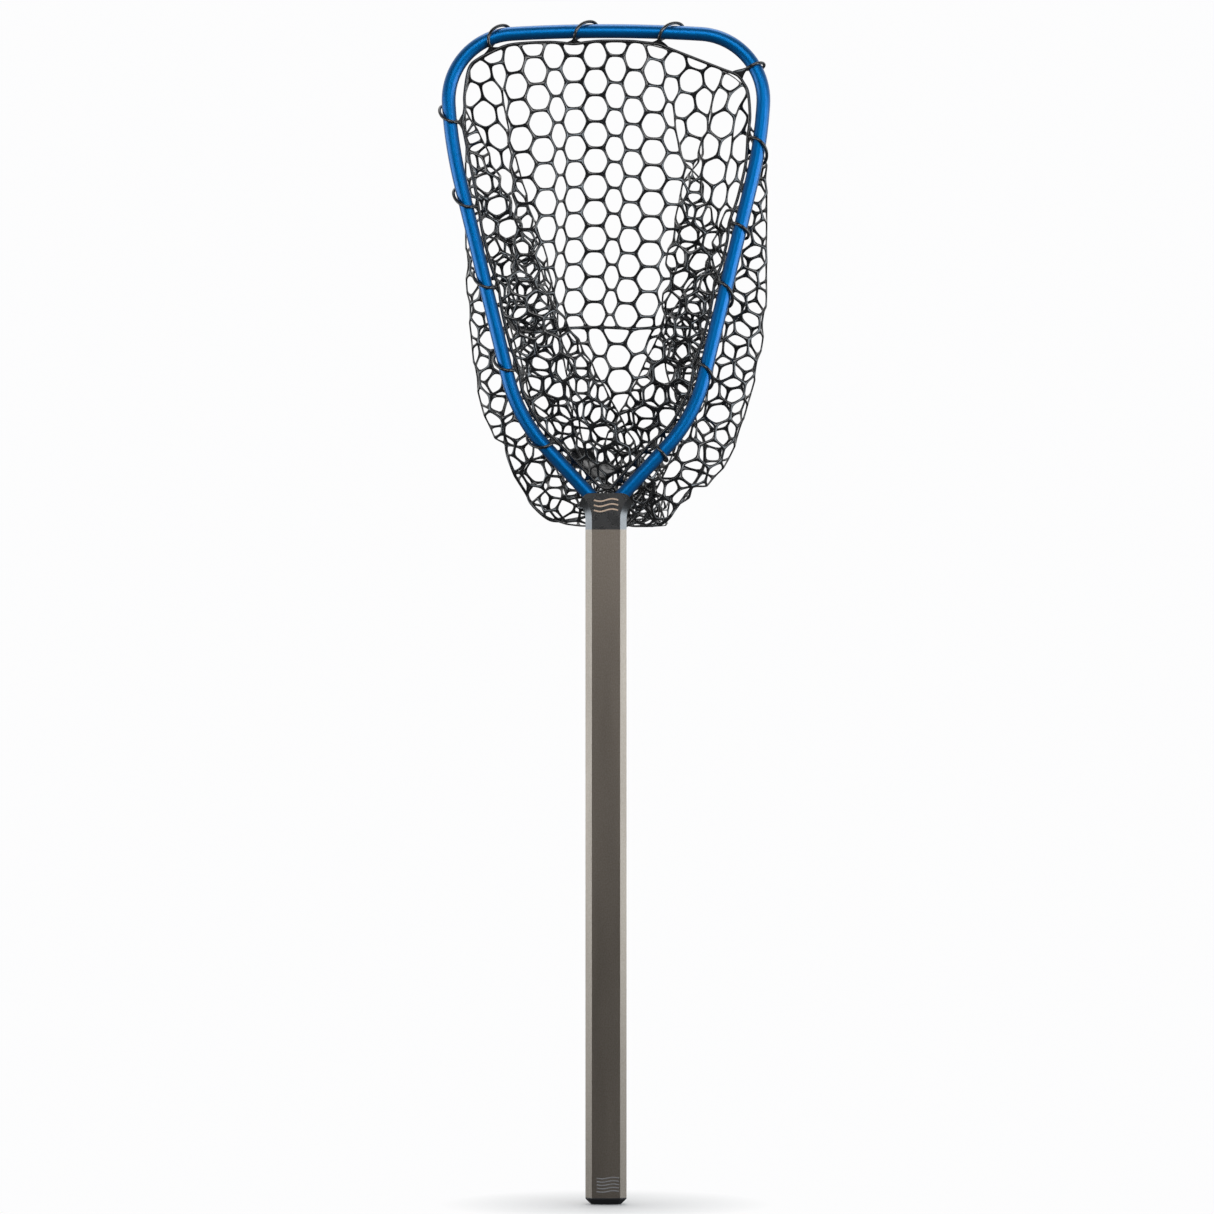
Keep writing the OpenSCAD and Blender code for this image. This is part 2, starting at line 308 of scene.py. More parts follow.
def cells_between(places, linked):
    """The cells that the strands enclose, each one clockwise."""
    turned = {}
    for v, others in linked.items():
        angle = {o: math.atan2(*(places[o] - places[v])) for o in others}
        turned[v] = sorted(others, key=angle.get)
    walked = set()
    cells = []
    for v in sorted(turned):
        for w in turned[v]:
            cell = []
            a, b = v, w
            while (a, b) not in walked:
                walked.add((a, b))
                cell.append(a)
                around = turned[b]
                a, b = b, around[(around.index(a) - 1) % len(around)]
            if len(cell) > 2:
                x, y = places[cell].T
                area = (x * np.roll(y, -1) - np.roll(x, -1) * y).sum() / 2
                if area < 0:
                    cells.append(cell)
    return cells


# ---------------------------------------------------------------- the netting's drape
# The net hangs from its rim as a mesh of springs, and is settled by position based dynamics.
# Speeds are in millimetres a step.
STEPS = 520
PASSES = 8
SEED = 3
JITTER = 0.6
GRAVITY = (0, 0.01, -0.075)
STRAND_K, CELL_K, BEND_K = 1.0, 0.3, 0.06
STIFF_CORNERS = 7  # the larger cells along the seam are only held softly
OVER_RELAX = 1.5
DAMPING = 0.985
TOP_SPEED = 3

# Strands that aren't close kin are kept APART, and who is near whom is worked out every LOOK_AGAIN steps
APART = 7
APART_K = 0.25
LOOK_AGAIN = 20

# What the net rests against: the hoop's tube, the yoke's back, and the bag's outline. The bag's lowest
# point is at LOWEST_X, and its bottom rises by BOTTOM_RISE at BOTTOM_SPAN to either side
TUBE_CLEAR = 8.4
HOOP_CHECKS = range(-565, 566, 4)
YOKE_HALF_W = 26
YOKE_BACK_Y = 14
YOKE_LIMIT_Z = YOKE_TOP + 3
LOWEST_Z = SEAM_Z + 4
LOWEST_X = 12
BOTTOM_RISE = 40
BOTTOM_SPAN = 100
FOREMOST_Y = -3
DEEPEST_Y = BAG_BACK - 4
WIDEST_X = (-128, 146)


def loop_root(i):
    """Where loop i's web meets the rim band: x, y, z."""
    x, z = hoop_point(LOOPS[i][0], -LOOPS[i][2])
    return np.array([x, RIM_Y, z])


def loop_column(i):
    return (FIRST_LOOP_COLUMN + LOOP_COLUMNS * i) % COLUMNS


def rim_places(along):
    """Points x, z of the rim, for lengths along the flat pattern. The loops' columns meet their roots."""
    outline = rim_outline(RIM_IN)
    length = length_along(outline)
    total = length[-1]
    run = np.gradient(outline, axis=0)
    inward = unit(np.column_stack([run[:, 1], -run[:, 0]]))
    columns, roots, insets, rises = [], [], [], []
    for i, (where, _, inset, rise) in enumerate(LOOPS):
        root = length[np.linalg.norm(outline - loop_root(i)[[0, 2]], axis=1).argmin()]
        roots.append(root - total if where < 0 else root)
        columns.append((FIRST_LOOP_COLUMN + LOOP_COLUMNS * i) * COLUMN_W)
        insets.append(inset)
        rises.append(rise)
    round_rim = COLUMNS * COLUMN_W
    columns = np.array([columns[-1] - round_rim] + columns + [columns[0] + round_rim])
    roots = [roots[-1] - total] + roots + [roots[0] + total]
    insets = [insets[-1]] + insets + [insets[0]]
    rises = np.array([rises[-1]] + rises)

    span = np.clip(np.searchsorted(columns, along, "right") - 1, 0, len(LOOPS))
    share = (along - columns[span]) / np.diff(columns)[span]
    inset = np.interp(along, columns, insets) - rises[span] * np.sin(np.pi * share)
    s = np.mod(np.interp(along, columns, roots), total)
    places = np.column_stack([np.interp(s, length, line) for line in outline.T])
    towards = unit(np.column_stack([np.interp(s, length, line) for line in inward.T]))
    places += (inset - RIM_IN)[:, None] * towards
    taut = span == TAUT_AFTER + 1
    ends = [loop_root(TAUT_AFTER)[[0, 2]], loop_root(TAUT_AFTER + 1)[[0, 2]]]
    places[taut] = ends[0] + share[taut][:, None] * (ends[1] - ends[0])
    return places


def add_springs(springs, cells, flat):
    """Adds springs of the flat lengths along each strand, across each cell and across each strand."""
    sides = {}
    for cell in cells:
        count = len(cell)
        for x in range(count):
            a, b = cell[x], cell[(x + 1) % count]
            sides.setdefault((min(a, b), max(a, b)), []).append((cell[x - 1], cell[(x + 2) % count]))
            springs.setdefault((min(a, b), max(a, b)), (flat(a, b), STRAND_K))
        for x in range(count):
            for y in range(x + 2, count - (x == 0)):
                a, b = cell[x], cell[y]
                stiffness = CELL_K if count <= STIFF_CORNERS else BEND_K
                springs.setdefault((min(a, b), max(a, b)), (flat(a, b), stiffness))
    for ends in sides.values():
        if len(ends) == 2:
            for a in ends[0]:
                for b in ends[1]:
                    if a != b:
                        springs.setdefault((min(a, b), max(a, b)), (flat(a, b), BEND_K))


def make_net():
    """The net before it hangs: places, cells of the wall and of the base, and springs."""
    wall_flat, wall_cells = wall_pattern()
    round_rim = COLUMNS * COLUMN_W
    rim = rim_places(wall_flat[:, 0])
    ring = rim[LEVELS * COLUMNS:] * BASE_SCALE
    ring[:, 1] += BASE_START_Z - ring[:, 1].min()
    base_flat, linked = base_strands(ring)
    first = LEVELS * COLUMNS
    base_cells = [[first + v for v in cell] for cell in cells_between(base_flat, linked)]

    def wall_length(a, b):
        along = abs(wall_flat[a, 0] - wall_flat[b, 0]) % round_rim
        return math.hypot(min(along, round_rim - along), wall_flat[a, 1] - wall_flat[b, 1])

    def base_length(a, b):
        return float(np.linalg.norm(base_flat[a - first] - base_flat[b - first]))

    springs = {}
    for j in range(COLUMNS):
        a, b = sorted([first + j, first + (j + 1) % COLUMNS])
        springs[(a, b)] = (base_length(a, b), STRAND_K)
    add_springs(springs, wall_cells, wall_length)
    add_springs(springs, base_cells, base_length)

    down = (-wall_flat[:, 1] / (LEVELS * HALF_ROW))[:, None]
    wall_xz = rim * (1 - down) + ring[np.arange(len(rim)) % COLUMNS] * down
    wall_xz[:, 0] *= 1 - np.where(wall_xz[:, 0] < 0, *SIDES_IN) * np.sin(np.pi * down[:, 0])
    wall_y = RIM_Y + (BASE_START_Y - RIM_Y) * down
    extra = base_flat[COLUMNS:]
    start = np.vstack([
        np.column_stack([wall_xz[:, 0], wall_y[:, 0], wall_xz[:, 1]]),
        np.column_stack([extra[:, 0], np.full(len(extra), BASE_START_Y), extra[:, 1]]),
    ])
    return start, wall_cells, base_cells, springs


def shared(total, count, a, b, push):
    """Sums the pushes on every vertex, against its end a and along its end b."""
    for axis in range(3):
        total[:, axis] += np.bincount(a, push[:, axis], count) - np.bincount(b, push[:, axis], count)


def clear_of_hoop(places, tube):
    """Moves what has sunk into the hoop's tube back to its surface."""
    near = np.nonzero((places[:, 1] < TUBE_CLEAR) & (places[:, 2] > SEAM_Z))[0]
    offset = places[near][:, None, [0, 2]] - tube[None]
    squared = (offset ** 2).sum(-1)
    closest = squared.argmin(1)
    radius = np.sqrt(squared[np.arange(len(near)), closest] + places[near, 1] ** 2)
    deep = radius < TUBE_CLEAR
    inner = near[deep]
    middle = np.zeros((len(inner), 3))
    middle[:, [0, 2]] = tube[closest[deep]]
    places[inner] = middle + (places[inner] - middle) * (TUBE_CLEAR / np.maximum(radius[deep], 0.1))[:, None]


def drape(start, springs):
    """The net's places once it hangs from its loops."""
    count = len(start)
    rng = np.random.default_rng(SEED)
    places = start + rng.normal(0, JITTER, start.shape)
    speed = np.zeros_like(places)
    ends = np.array(sorted(springs))
    a, b = ends.T
    rest, stiff = np.array([springs[tuple(pair)] for pair in ends]).T
    share = OVER_RELAX / (np.bincount(a, stiff, count) + np.bincount(b, stiff, count))[:, None]
    tube = np.array([hoop_point(s, 0) for s in HOOP_CHECKS])

    linked = np.eye(count, dtype=np.float32)
    strands = stiff >= STRAND_K
    linked[a[strands], b[strands]] = 1
    linked[b[strands], a[strands]] = 1
    close_kin = linked @ linked @ linked > 0

    for step in range(STEPS):
        speed = speed * DAMPING + GRAVITY
        pace = np.linalg.norm(speed, axis=1, keepdims=True)
        before = places.copy()
        places = places + speed * np.minimum(1, TOP_SPEED / np.maximum(pace, 1e-9))
        if step % LOOK_AGAIN == 0:
            squared = (places ** 2).sum(1)
            distance = squared[:, None] + squared[None] - 2 * places @ places.T
            near_a, near_b = np.nonzero(np.triu((distance < (2 * APART) ** 2) & ~close_kin, 1))
        for _ in range(PASSES):
            gap = places[b] - places[a]
            length = np.sqrt((gap ** 2).sum(1))
            pull = gap * (0.5 * stiff * (length - rest) / np.maximum(length, 1e-6))[:, None]
            total = np.zeros_like(places)
            shared(total, count, a, b, pull)
            places += total * share
            places[:COLUMNS] = start[:COLUMNS]
        gap = places[near_b] - places[near_a]
        length = np.sqrt((gap ** 2).sum(1))
        touching = length < APART
        gap, length = gap[touching], length[touching]
        push = gap * (APART_K * (length - APART) / np.maximum(length, 0.001))[:, None]
        shared(places, count, near_a[touching], near_b[touching], push)
        clear_of_hoop(places, tube)
        over_yoke = (np.abs(places[:, 0]) < YOKE_HALF_W) & (places[:, 2] < YOKE_LIMIT_Z)
        places[over_yoke, 1] = np.maximum(places[over_yoke, 1], YOKE_BACK_Y)
        places[:, 0] = np.clip(places[:, 0], *WIDEST_X)
        places[:, 1] = np.clip(places[:, 1], FOREMOST_Y, DEEPEST_Y)
        bottom = LOWEST_Z + BOTTOM_RISE * ((places[:, 0] - LOWEST_X) / BOTTOM_SPAN) ** 4
        places[:, 2] = np.maximum(places[:, 2], bottom)
        speed = places - before
    return places


# ---------------------------------------------------------------- meshes
def new_object(name, points, faces, material, subdivide=0):
    """A smooth closed mesh from points in millimetres, subdivided and final."""
    mesh = bpy.data.meshes.new(name)
    mesh.from_pydata([tuple(p) for p in np.asarray(points) * MM], [], faces)
    if subdivide:
        maker = bpy.data.objects.new(name + "_maker", mesh)
        bpy.context.scene.collection.objects.link(maker)
        maker.modifiers.new("round", "SUBSURF").levels = subdivide
        rounded = maker.evaluated_get(bpy.context.evaluated_depsgraph_get())
        mesh = bpy.data.meshes.new_from_object(rounded)
        bpy.data.objects.remove(maker)
        mesh.name = name
    mesh.polygons.foreach_set("use_smooth", [True] * len(mesh.polygons))
    mesh.materials.append(material)
    thing = bpy.data.objects.new(name, mesh)
    bpy.context.scene.collection.objects.link(thing)
    return thing


def smooth_ring(points, count):
    """Closed Catmull-Rom curve through the points, with count points for each stretch."""
    points = np.asarray(points, float)
    around = np.vstack([points[-1:], points, points[:2]])
    path = []
    for p0, p1, p2, p3 in zip(around, around[1:], around[2:], around[3:]):
        for t in np.arange(count) / count:
            path.append(0.5 * (2 * p1 + (p2 - p0) * t + (2 * p0 - 5 * p1 + 4 * p2 - p3) * t ** 2
                               + (3 * p1 - p0 - 3 * p2 + p3) * t ** 3))
    return np.array(path)


def tube_mesh(path, half_w, half_d, depth, closed, sides=12):
    """Points and faces of a cord along the path. half_d is its half size along depth, half_w across that."""
    count = len(path)
    half_w = np.broadcast_to(half_w, count)
    half_d = np.broadcast_to(half_d, count)
    if closed:
        tangent = unit(np.roll(path, -1, axis=0) - np.roll(path, 1, axis=0))
    else:
        tangent = unit(np.gradient(path, axis=0))
    side = unit(np.cross(tangent, depth))
    back = np.cross(side, tangent)
    angle = 2 * np.pi * np.arange(sides) / sides
    ring = (np.cos(angle)[None, :, None] * side[:, None] * half_w[:, None, None]
            + np.sin(angle)[None, :, None] * back[:, None] * half_d[:, None, None])
    points = (path[:, None] + ring).reshape(-1, 3)
    faces = []
    for i in range(count if closed else count - 1):
        for j in range(sides):
            a, b = i * sides, (i + 1) % count * sides
            faces.append((a + j, a + (j + 1) % sides, b + (j + 1) % sides, b + j))
    if not closed:
        faces.append(tuple(range(sides))[::-1])
        faces.append(tuple(range((count - 1) * sides, count * sides)))
    return points, faces


def joined(*meshes):
    """One list of points and one of faces for several meshes."""
    points, faces = [], []
    for more_points, more_faces in meshes:
        faces += [tuple(v + len(points) for v in face) for face in more_faces]
        points += [tuple(p) for p in more_points]
    return points, faces


def strand_mesh(places, cells, solid_cells=()):
    """Points and faces of the strands round the cells. Each strand is a box until it is subdivided."""
    corner = {}
    after_corner = {}
    normal = np.zeros_like(places)
    for c, cell in enumerate(cells):
        ring = places[cell]
        face_normal = np.cross(ring, np.roll(ring, -1, axis=0)).sum(0)
        for x, v in enumerate(cell):
            normal[v] += unit(face_normal)
            corner[c, v] = len(corner)
            after_corner[v, cell[(x + 1) % len(cell)]] = c
    normal = unit(normal)

    count = len(corner)
    inner = np.zeros((2 * count, 3))
    lift = np.zeros((2 * count, 3))
    for c, cell in enumerate(cells):
        ring = places[cell]
        following = np.roll(ring, -1, axis=0)
        to_next = unit(following - ring)
        tangent = unit(to_next + np.roll(to_next, 1, axis=0))
        inward = unit(np.cross(normal[cell], tangent))
        slope = np.maximum((tangent * to_next).sum(1), SHARPEST)[:, None]
        room = CELL_SHARE * np.linalg.norm(ring - ring.mean(0), axis=1)[:, None]
        between = unit(normal[cell] + np.roll(normal[cell], -1, axis=0))
        index = np.array([corner[c, v] for v in cell])
        inner[index] = ring + inward * np.minimum(STRAND_R / slope, room)
        lift[index] = normal[cell]
        sideways = unit(np.cross(between, to_next))
        inner[index + count] = (ring + following) / 2 + sideways * np.minimum(STRAND_R, room)
        lift[index + count] = between

    border = sorted({u for pair in after_corner if pair[::-1] not in after_corner for u in pair})
    border_lift = normal[border]
    edge = places[border]
    points = np.vstack([inner + lift * STRAND_HALF_H, inner - lift * STRAND_HALF_H,
                        edge + border_lift * STRAND_HALF_H, edge - border_lift * STRAND_HALF_H])
    below = len(inner)
    edge_of = {v: 2 * below + i for i, v in enumerate(border)}
    edge_below = len(border)

    faces = []
    around = {}
    for (v, w), c in after_corner.items():
        a, b = corner[c, v], corner[c, w]
        middle = a + count
        if c not in solid_cells:
            faces.append((a, middle, middle + below, a + below))
            faces.append((middle, b, b + below, middle + below))
        other = after_corner.get((w, v))
        if other is None:
            far_a, far_b = edge_of[v], edge_of[w]
            low_a, low_b = far_a + edge_below, far_b + edge_below
            faces.append((far_b, far_a, low_a, low_b))
            faces.append((far_a, far_b, b, middle, a))
            faces.append((low_b, low_a, a + below, middle + below, b + below))
        elif v < w:
            far_a, far_b = corner[other, v], corner[other, w]
            far_middle = far_b + count
            faces.append((far_a, far_middle, middle, a))
            faces.append((far_middle, far_b, b, middle))
            faces.append((far_middle + below, far_a + below, a + below, middle + below))
            faces.append((far_b + below, far_middle + below, middle + below, b + below))
        around.setdefault(v, {})[c] = other
    for c in solid_cells:
        ring = [u for v in cells[c] for u in (corner[c, v], corner[c, v] + count)]
        faces.append(tuple(ring))
        faces.append(tuple(v + below for v in reversed(ring)))
    for v, follows in around.items():
        # follows[c] is the cell across the strand that leaves v along cell c
        ahead = {other: c for c, other in follows.items() if other is not None}
        start = next((c for c in follows if follows[c] is None), next(iter(follows)))
        ring = [start]
        while ahead.get(ring[-1]) not in (None, start):
            ring.append(ahead[ring[-1]])
        top = [corner[c, v] for c in ring]
        low = [i + below for i in top]
        if v in edge_of:
            top.append(edge_of[v])
            low.append(edge_of[v] + edge_below)
        faces.append(tuple(top))
        faces.append(tuple(reversed(low)))
    return points, faces


# ---------------------------------------------------------------- materials
def new_material(name, colour, roughness, metallic=0.0):
    material = bpy.data.materials.new(name)
    material.use_nodes = True
    shader = material.node_tree.nodes["Principled BSDF"]
    shader.inputs["Base Color"].default_value = (*colour, 1)
    shader.inputs["Roughness"].default_value = roughness
    shader.inputs["Metallic"].default_value = metallic
    return material


def grain(material, scale, stretch, detail=3.0):
    """A noise texture over the object's own coordinates, drawn out along its axes by stretch."""
    tree = material.node_tree
    place = tree.nodes.new("ShaderNodeTexCoord")
    fit = tree.nodes.new("ShaderNodeMapping")
    noise = tree.nodes.new("ShaderNodeTexNoise")
    fit.inputs["Scale"].default_value = stretch
    noise.inputs["Scale"].default_value = scale
    noise.inputs["Detail"].default_value = detail
    tree.links.new(place.outputs["Object"], fit.inputs["Vector"])
    tree.links.new(fit.outputs["Vector"], noise.inputs["Vector"])
    return noise


def tint(material, noise, low, high, dark, light):
    """Varies the material's colour between two colours with the noise."""
    tree = material.node_tree
    ramp = tree.nodes.new("ShaderNodeValToRGB")
    ramp.color_ramp.elements[0].position = low
    ramp.color_ramp.elements[1].position = high
    ramp.color_ramp.elements[0].color = (*dark, 1)
    ramp.color_ramp.elements[1].color = (*light, 1)
    tree.links.new(noise.outputs["Fac"], ramp.inputs["Fac"])
    tree.links.new(ramp.outputs["Color"], tree.nodes["Principled BSDF"].inputs["Base Color"])


def vary_roughness(material, noise, low, high):
    tree = material.node_tree
    span = tree.nodes.new("ShaderNodeMapRange")
    span.inputs["From Min"].default_value = 0.3
    span.inputs["From Max"].default_value = 0.7
    span.inputs["To Min"].default_value = low
    span.inputs["To Max"].default_value = high
    tree.links.new(noise.outputs["Fac"], span.inputs["Value"])
    tree.links.new(span.outputs["Result"], tree.nodes["Principled BSDF"].inputs["Roughness"])


def emboss(material, noise, strength, height):
    tree = material.node_tree
    bump = tree.nodes.new("ShaderNodeBump")
    bump.inputs["Strength"].default_value = strength
    bump.inputs["Distance"].default_value = height
    tree.links.new(noise.outputs["Fac"], bump.inputs["Height"])
    tree.links.new(bump.outputs["Normal"], tree.nodes["Principled BSDF"].inputs["Normal"])


def anodised_handle():
    """Warm grey anodised aluminium, bead blasted before it was coloured."""
    material = new_material("handle_anodised", (0.31, 0.265, 0.222), 0.38, 1.0)
    blasted = grain(material, 1100, (1, 1, 0.6))
    tint(material, blasted, 0.3, 0.7, (0.28, 0.24, 0.2), (0.36, 0.308, 0.262))
    vary_roughness(material, grain(material, 60, (1, 1, 0.1)), 0.36, 0.42)
    emboss(material, blasted, 0.04, 0.00005)
    return material


def anodised_yoke():
    """Black anodised aluminium with a fine blasted surface."""
    material = new_material("yoke_black", (0.17, 0.17, 0.172), 0.27, 1.0)
    blasted = grain(material, 1100, (1, 1, 1))
    tint(material, blasted, 0.3, 0.7, (0.15, 0.15, 0.152), (0.19, 0.19, 0.192))
    vary_roughness(material, grain(material, 90, (1, 1, 1)), 0.25, 0.3)
    emboss(material, blasted, 0.04, 0.00005)
    return material


def anodised_hoop():
    """Satin blue anodised tube, whose clear seal shows most toward its edges."""
    material = new_material("hoop_blue", (0.001, 0.15, 0.44), 0.5, 1.0)
    tint(material, grain(material, 18, (1, 1, 1)), 0.35, 0.7, (0.001, 0.145, 0.425), (0.003, 0.16, 0.46))
    vary_roughness(material, grain(material, 60, (1, 1, 1), 1), 0.46, 0.49)
    tree = material.node_tree
    seal = tree.nodes["Principled BSDF"].inputs
    edge = tree.nodes.new("ShaderNodeLayerWeight")
    edge.inputs["Blend"].default_value = 0.7
    tree.links.new(edge.outputs["Facing"], seal["Coat Weight"])
    seal["Coat Roughness"].default_value = 0.25
    seal["Coat IOR"].default_value = 1.8
    return material


def bare_aluminium():
    material = new_material("bare_aluminium", (0.75, 0.75, 0.76), 0.35, 1.0)
    turned = grain(material, 1200, (1, 1, 0.1))
    vary_roughness(material, turned, 0.28, 0.45)
    emboss(material, turned, 0.2, 0.0001)
    return material


def screw_steel():
    material = new_material("screw_steel", (0.55, 0.55, 0.56), 0.25, 1.0)
    brushed = grain(material, 1600, (1, 0.2, 1))
    tint(material, brushed, 0.3, 0.7, (0.48, 0.48, 0.5), (0.62, 0.62, 0.63))
    vary_roughness(material, brushed, 0.2, 0.38)
    return material


def plug_plastic():
    """Moulded black plastic with a fine spark-eroded surface."""
    material = new_material("plug_black", (0.03, 0.029, 0.031), 0.45)
    pits = grain(material, 2200, (1, 1, 1))
    vary_roughness(material, pits, 0.38, 0.55)
    emboss(material, pits, 0.4, 0.0001)
    return material


def seal_rubber():
    material = new_material("seal_rubber", (0.014, 0.014, 0.015), 0.5)
    dusty = grain(material, 600, (1, 1, 1))
    tint(material, dusty, 0.4, 0.8, (0.011, 0.011, 0.012), (0.025, 0.025, 0.026))
    vary_roughness(material, dusty, 0.42, 0.6)
    return material


def net_rubber():
    """Glossy black rubber, a little uneven where the mould's halves met."""
    material = new_material("net_rubber", (0.004, 0.004, 0.005), 0.3)
    uneven = grain(material, 250, (1, 1, 1))
    tint(material, uneven, 0.4, 0.8, (0.003, 0.003, 0.004), (0.008, 0.008, 0.009))
    vary_roughness(material, uneven, 0.2, 0.3)
    gloss = material.node_tree.nodes["Principled BSDF"].inputs
    gloss["Specular IOR Level"].default_value = 0.8
    gloss["Coat Weight"].default_value = 0.5
    gloss["Coat Roughness"].default_value = 0.12
    return material


def etched_mark(name, dark, light):
    """Where a laser has taken the colour off: pale matt metal with a fine speckle."""
    material = new_material(name, light, 0.6)
    speckle = grain(material, 2500, (1, 1, 1))
    tint(material, speckle, 0.35, 0.7, dark, light)
    vary_roughness(material, speckle, 0.5, 0.7)
    return material


# ---------------------------------------------------------------- the net's pieces
def net_piece(name, points, faces, material, subdivide, *nodes):
    piece = new_object(name, points, faces, material, subdivide)
    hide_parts(*nodes)
    return piece


def hang_with_bag(piece):
    """Bakes the piece's transform into its own mesh."""
    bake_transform(piece)


def rim_path(places):
    """The rim band's smooth closed route, through the netting's first row and the loops' roots."""
    roots = {loop_column(i): loop_root(i) for i in range(len(LOOPS))}
    points = []
    for j in range(COLUMNS):
        points.append(places[j])
        if j in roots:
            points.append(roots[j])
    return smooth_ring(points, 5)


def make_rim(path, material):
    points, faces = tube_mesh(path, RIM_HALF_W, RIM_HALF_D, (0, 1, 0), True)
    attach(net_piece("net_rim_band", points, faces, material, 1, "net_rim"), "frame")


def loop_cord(i):
    """A ring round the tube. It rises straight in front, and runs on along the tube as it goes over."""
    where, run, _, _ = LOOPS[i]
    path = []
    for t in 2 * np.pi * np.arange(LOOP_POINTS) / LOOP_POINTS:
        share = t / LOOP_FARTHEST if t < LOOP_FARTHEST else (2 * np.pi - t) / (2 * np.pi - LOOP_FARTHEST)
        x, z = hoop_point(where + run * math.sin(np.pi / 2 * share) ** 4, -LOOP_R * math.cos(t))
        path.append((x, -LOOP_R * math.sin(t), z))
    return np.array(path)


def web_mesh(neck, half_w, rim):
    """Points and faces of a web that widens down the neck until it lies along the rim band."""
    root = neck[-1]
    side = unit(np.cross(root - neck[0], (0, 1, 0)))
    middle = len(rim) // 2
    near = np.roll(rim, middle - np.linalg.norm(rim - root, axis=1).argmin(), axis=0)
    if (near[middle + 1] - near[middle - 1]) @ side < 0:
        near = near[::-1]
        middle = len(rim) - 1 - middle
    length = length_along(near)
    length -= length[middle]
    round_cord, faces = tube_mesh(neck, 1, LOOP_CORD_R, (0, 1, 0), False)
    rings = round_cord.reshape(len(neck), -1, 3) - neck[:, None]
    points = []
    for centre, ring, width, t in zip(neck, rings, half_w, np.linspace(0, 1, len(neck))):
        across = ring @ side * width
        straight = across[:, None] * side
        bent = np.column_stack([np.interp(across, length, line) for line in near.T]) - near[middle]
        thick = ring[:, 1, None] * (1 + WEB_THICKENS * t) * np.array([0, 1, 0])
        points.append(centre + (1 - t ** 2) * straight + t ** 2 * bent + thick)
    return np.vstack(points), faces


def make_loop(i, rim, material):
    """A loop with the web that spreads from it into the rim band."""
    path = loop_cord(i)
    middle = path.mean(0)
    through = unit(np.cross(path[LOOP_POINTS // 4] - middle, path[0] - middle))
    cord = tube_mesh(path, LOOP_CORD_R, LOOP_CORD_R, through, True)
    t = np.linspace(0, 1, WEB_RINGS)[:, None]
    neck = path[WEB_START] * (1 - t) + loop_root(i) * t
    half_w = LOOP_CORD_R + (WEB_SPREAD + WEB_GROWTH * LOOPS[i][1]) * t[:, 0] ** WEB_FLARE
    points, faces = joined(cord, web_mesh(neck, half_w, rim))
    name = f"{i + 1:02d}"
    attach(net_piece("net_hoop_loop_" + name, points, faces, material, 1, "net_loop_" + name), "frame")


def make_netting(places, wall_cells, base_cells, material):
    points, faces = strand_mesh(places, wall_cells)
    hang_with_bag(net_piece("netting_wall", points, faces, material, 1, "net_wall"))
    middle = np.array([places[cell].mean(0) for cell in base_cells])
    gap = np.linalg.norm(middle[:, [0, 2]] - PATCH_AT, axis=1)
    patch = [int(c) for c in np.argsort(gap)[:2]]
    points, faces = strand_mesh(places, base_cells, patch)
    hang_with_bag(net_piece("netting_base", points, faces, material, 1, "net_base", "net_base_patch"))
    seam = smooth_ring(places[LEVELS * COLUMNS:(LEVELS + 1) * COLUMNS], 4)
    points, faces = tube_mesh(seam, SEAM_R, SEAM_R, (0, 1, 0), True, 8)
    hang_with_bag(net_piece("netting_seam", points, faces, material, 1, "net_base_seam"))


def make_bag(material):
    start, wall_cells, base_cells, springs = make_net()
    places = drape(start, springs)
    make_netting(places, wall_cells, base_cells, material)
    rim = rim_path(places)
    make_rim(rim, material)
    for i in range(len(LOOPS)):
        make_loop(i, rim, material)


# ---------------------------------------------------------------- the hoop
def make_hoop(material):
    """The hoop's tube, hollow from one leg's end over the top to the other's."""
    reach = sum(stretch_length(stretch) for stretch in HOOP_BENDS) + LEG_TO_CROSS - END_TO_CROSS
    around = 2 * np.pi * np.arange(HOOP_SIDES) / HOOP_SIDES
    stations = np.linspace(-reach, reach, HOOP_STATIONS)
    points = []
    for radius, order in ((TUBE_R, stations), (BORE_R, stations[::-1])):
        for s in order:
            for t in around:
                x, z = hoop_point(s, radius * math.cos(t))
                points.append((x, radius * math.sin(t), z))
    rows = len(points) // HOOP_SIDES
    faces = []
    for i in range(rows):
        for j in range(HOOP_SIDES):
            here, ahead = i * HOOP_SIDES, (i + 1) % rows * HOOP_SIDES
            beside = (j + 1) % HOOP_SIDES
            faces.append((here + j, ahead + j, ahead + beside, here + beside))
    hoop = new_object("hoop_tube_smooth", points, faces, material)
    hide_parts("hoop_tube")
    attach(hoop, "frame")


# ---------------------------------------------------------------- plain marks on the metal
def make_waves(name, centre, width, lines, pitch, half_w, height, material):
    """A patch of plain wave lines etched on the front, with the lines' half width and the waves' height."""
    strokes = []
    along = np.linspace(-0.5, 0.5, 41)
    for i in range(lines):
        x = centre[0] + along * width
        z = centre[1] + (i - (lines - 1) / 2) * pitch + height * np.sin(2 * np.pi * along)
        path = np.column_stack([x, np.full(len(x), FRONT_Y), z])
        strokes.append(tube_mesh(path, half_w, 0.05, (0, 1, 0), False, 8))
    points, faces = joined(*strokes)
    mark = new_object(name, points, faces, material)
    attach(mark, "frame")


# ---------------------------------------------------------------- stage, lights and camera
BACKDROP = (0.98, 0.98, 0.985)
FLOOR_R = 9
FLOOR_FADE = 0.15
FLOOR_BOUNCE = (0.13, 0.13, 0.13)
SIDE_LIGHT = (0.84, 0.93, 1)


